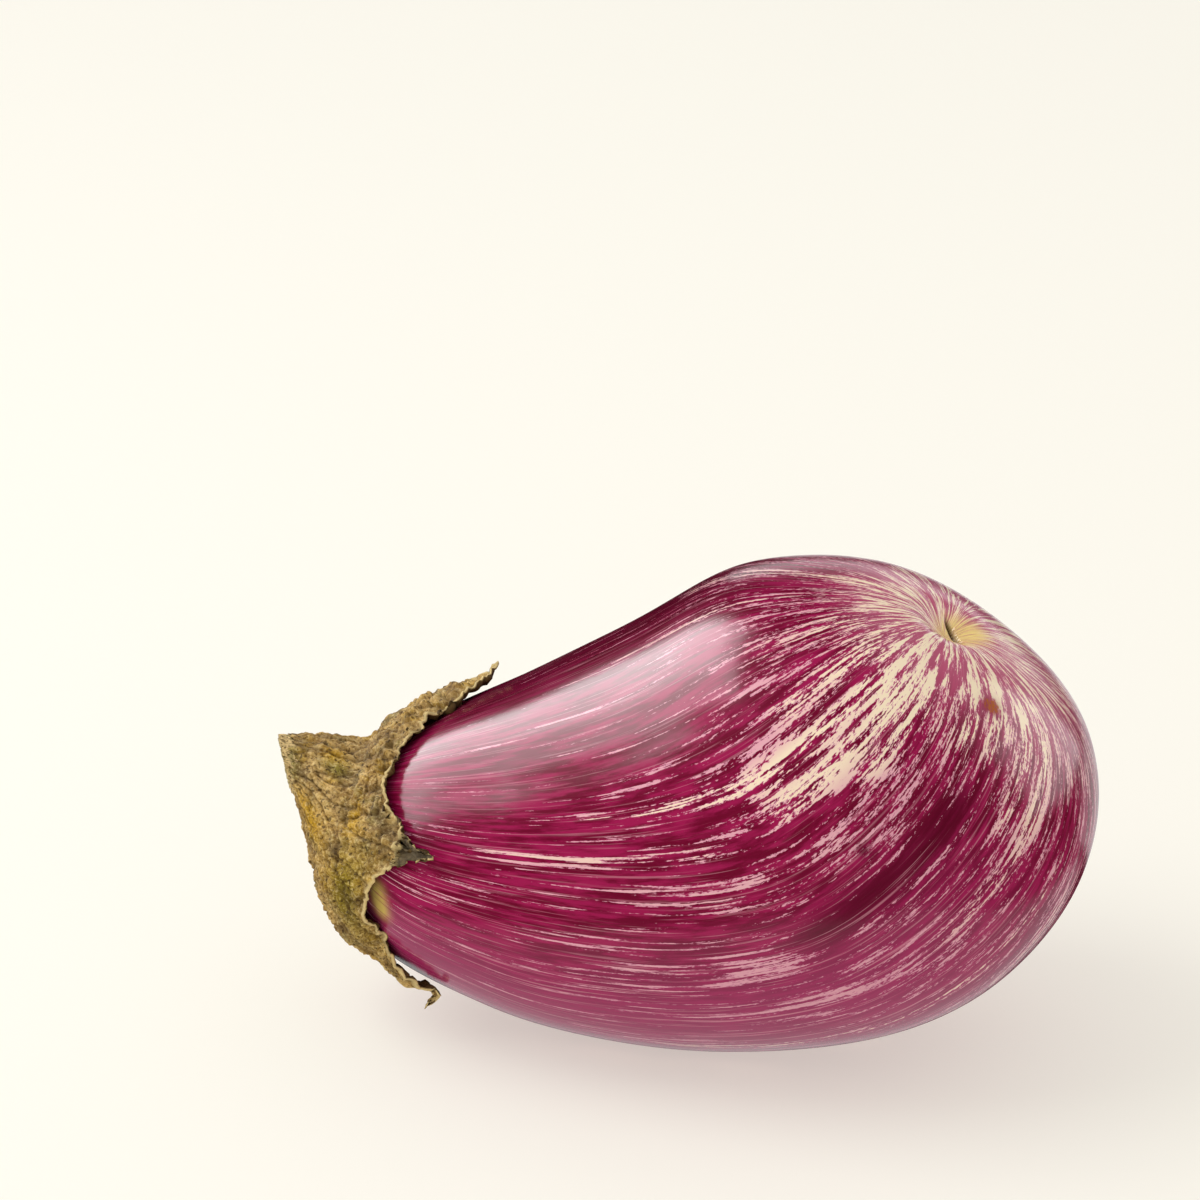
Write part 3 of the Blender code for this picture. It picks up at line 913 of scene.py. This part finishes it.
def leaf_material():
    paint = Paint("dry_leaf")
    grain = paint.attribute("grain", vector=True)
    grains = paint.noise(grain, (0.6, 0.6, 0.6), 3.0, 0.7)
    fibres = paint.noise(paint.attribute("along", vector=True), (2.6, 0.7, 0.7), 4.0, 0.65)
    patches = paint.noise(grain, (5.0, 5.0, 5.0), 4.0, 0.62)
    ochre = paint.noise(grain, (7.0, 6.0, 6.3), 3.0, 0.6)
    specks = paint.noise(grain, (1.0, 0.9, 0.9), 2.0, 0.6)

    def over(colour, share, strength, other):
        return paint.blend(paint.math("MULTIPLY", share, strength), colour, other)

    colour = paint.blend(paint.step(patches, 0.38, 0.62), rgb(162, 126, 66), rgb(212, 174, 106))
    colour = over(colour, paint.step(ochre, 0.54, 0.66), 0.7, rgb(200, 158, 58))
    colour = over(colour, paint.step(ochre, 0.46, 0.34), 0.5, rgb(124, 118, 68))
    colour = over(colour, paint.step(fibres, 0.47, 0.36), 0.5, rgb(112, 82, 42))
    colour = over(colour, paint.step(fibres, 0.52, 0.64), 0.5, rgb(214, 188, 134))
    colour = over(colour, paint.attribute("yellow"), 0.9, rgb(212, 164, 30))
    colour = over(colour, paint.attribute("green"), 0.8, rgb(126, 118, 34))
    colour = over(colour, paint.attribute("grey"), 0.7, rgb(112, 94, 64))
    colour = over(colour, paint.step(grains, 0.53, 0.63), 0.45, rgb(240, 214, 150))
    colour = over(colour, paint.step(grains, 0.47, 0.38), 0.65, rgb(98, 68, 32))
    colour = over(colour, paint.step(specks, 0.59, 0.66), 0.75, rgb(64, 46, 24))
    # Painted shade: darker brown along the creases, and half of it on the inner side
    colour = over(colour, paint.attribute("crease"), 0.7, rgb(70, 46, 20))
    colour = over(colour, paint.attribute("torn"), 0.85, rgb(96, 86, 70))
    colour = over(colour, paint.attribute("edge"), 0.8, rgb(230, 206, 146))
    # Painted shade: the cap's inner side, facing the fruit, is painted dark brown
    colour = over(colour, paint.attribute("under"), 0.8, rgb(84, 62, 34))
    height = paint.scaled(grains, 0.5, paint.math("MULTIPLY", fibres, 0.5))
    paint.bump(height, 0.5 * MM, 1.0)
    return paint.finish(colour, paint.scaled(grains, -0.3, 0.85), Specular_IOR_Level=0.15)


def stub_material():
    paint = Paint("cut_stem")
    grain = paint.attribute("grain", vector=True)
    out = paint.attribute("out")
    fibres = paint.noise(grain, (0.7, 0.7, 2.0), 4.0, 0.65)
    rays = paint.noise(grain, (0.4, 0.4, 0.7), 3.0, 0.7)
    colour = paint.blend(paint.step(fibres, 0.38, 0.62), rgb(158, 138, 88), rgb(224, 206, 156))
    place = paint.attribute("place", vector=True)
    grains = paint.noise(place, (0.6, 0.6, 0.6), 3.0, 0.7)
    green = paint.noise(place, (2.5, 2.5, 2.5), 2.0, 0.5)
    bark = paint.blend(paint.step(grains, 0.4, 0.5), rgb(110, 82, 42), rgb(220, 190, 132))
    bark = paint.blend(paint.math("MULTIPLY", paint.step(green, 0.5, 0.62), 0.5), bark, rgb(120, 118, 60))
    colour = paint.blend(paint.step(out, 0.95, 1.3), colour, bark)
    colour = paint.blend(paint.math("MULTIPLY", paint.step(rays, 0.53, 0.62), 0.75), colour, rgb(70, 54, 32))
    paint.bump(paint.math("ADD", fibres, grains), 0.4 * MM, 1.0)
    return paint.finish(colour, paint.scaled(fibres, -0.2, 0.92), Specular_IOR_Level=0.15)


def floor_material():
    paint = Paint("pale_floor")
    return paint.finish(
        rgb(186, 184, 176), 0.9, IOR=1.3, Emission_Color=rgb(250, 246, 237), Emission_Strength=FLOOR_GLOW)


# Stage


def towards(azimuth, elevation):
    """A direction; azimuth 0 is -Y, the camera's side, and 90 is +X."""
    azimuth, elevation = math.radians(azimuth), math.radians(elevation)
    return Vector((
        math.sin(azimuth) * math.cos(elevation),
        -math.cos(azimuth) * math.cos(elevation),
        math.sin(elevation),
    ))


def softbox(name, azimuth, elevation, distance, size, radiance, gloss=True):
    """A soft panel that faces the fruit; it either shows in the gloss or lights the colours."""
    data = bpy.data.lights.new(name, "AREA")
    data.shape = "RECTANGLE"
    data.size, data.size_y = size
    data.energy = radiance * math.pi * size[0] * size[1]
    item = bpy.data.objects.new(name, data)
    away = towards(azimuth, elevation)
    item.location = FRUIT_MIDDLE + away * distance
    item.rotation_euler = away.to_track_quat("Z", "Y").to_euler()
    item.visible_camera = False
    item.visible_glossy = gloss
    item.visible_diffuse = not gloss
    bpy.context.scene.collection.objects.link(item)


def make_stage():
    bpy.ops.mesh.primitive_plane_add(size=FLOOR_SIZE, location=(0.0, 0.0, 0.0))
    floor = bpy.context.object
    floor.name = "floor"
    floor.data.materials.append(floor_material())
    floor.visible_glossy = False

    world = bpy.data.worlds.new("studio")
    bpy.context.scene.world = world
    world.use_nodes = True
    sky = world.node_tree.nodes["Background"]
    sky.inputs["Color"].default_value = rgb(250, 249, 244)
    sky.inputs["Strength"].default_value = SKY_STRENGTH
    world.cycles_visibility.glossy = False

    softbox("key", -114.0, 38.0, 3.0, (2.6, 2.3), 6.2)
    softbox("key_middle", -124.0, 36.0, 3.0, (1.35, 1.5), 4.0)
    softbox("key_low", -80.0, 28.0, 3.0, (0.8, 0.6), 6.0)
    softbox("key_soft", -80.0, 50.0, 1.2, (0.9, 0.9), 2.6, gloss=False)
    softbox("right", 117.0, 12.0, 3.0, (2.6, 1.9), 2.7)
    softbox("low_behind", 158.0, -19.0, 3.0, (3.0, 1.0), 0.8)
    softbox("below", 0.0, -90.0, 1.5, (4.0, 4.0), 0.6)
    softbox("behind", 172.0, 9.0, 3.0, (2.4, 0.7), 1.1)


def make_camera():
    around, above = math.radians(CAMERA_AROUND), math.radians(CAMERA_ABOVE)
    right = Vector((math.cos(around), math.sin(around), 0.0))
    back = Vector((math.sin(around) * math.cos(above), -math.cos(around) * math.cos(above), math.sin(above)))
    up = back.cross(right)
    place = Vector(CAMERA_AIM) + Vector(MOVE) + back * CAMERA_DISTANCE
    place -= right * CAMERA_ASIDE[0] + up * CAMERA_ASIDE[1]
    data = bpy.data.cameras.new("camera")
    data.lens = CAMERA_LENS
    data.sensor_width = CAMERA_SENSOR
    data.clip_start = 0.01
    data.clip_end = 50.0
    item = bpy.data.objects.new("camera", data)
    item.matrix_world = Matrix.Translation(place) @ Matrix((right, up, back)).transposed().to_4x4()
    bpy.context.scene.collection.objects.link(item)
    bpy.context.scene.camera = item


def dress(piece, node, material):
    piece.data.materials.append(material)
    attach(piece, "root")
    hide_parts(node)


def main():
    dress(make_fruit(), "fruit", skin_material())
    dress(make_cap(), "calyx", leaf_material())
    dress(make_stem(), "stem", stub_material())
    make_stage()
    make_camera()
    bpy.context.scene.view_settings.view_transform = "Standard"


main()
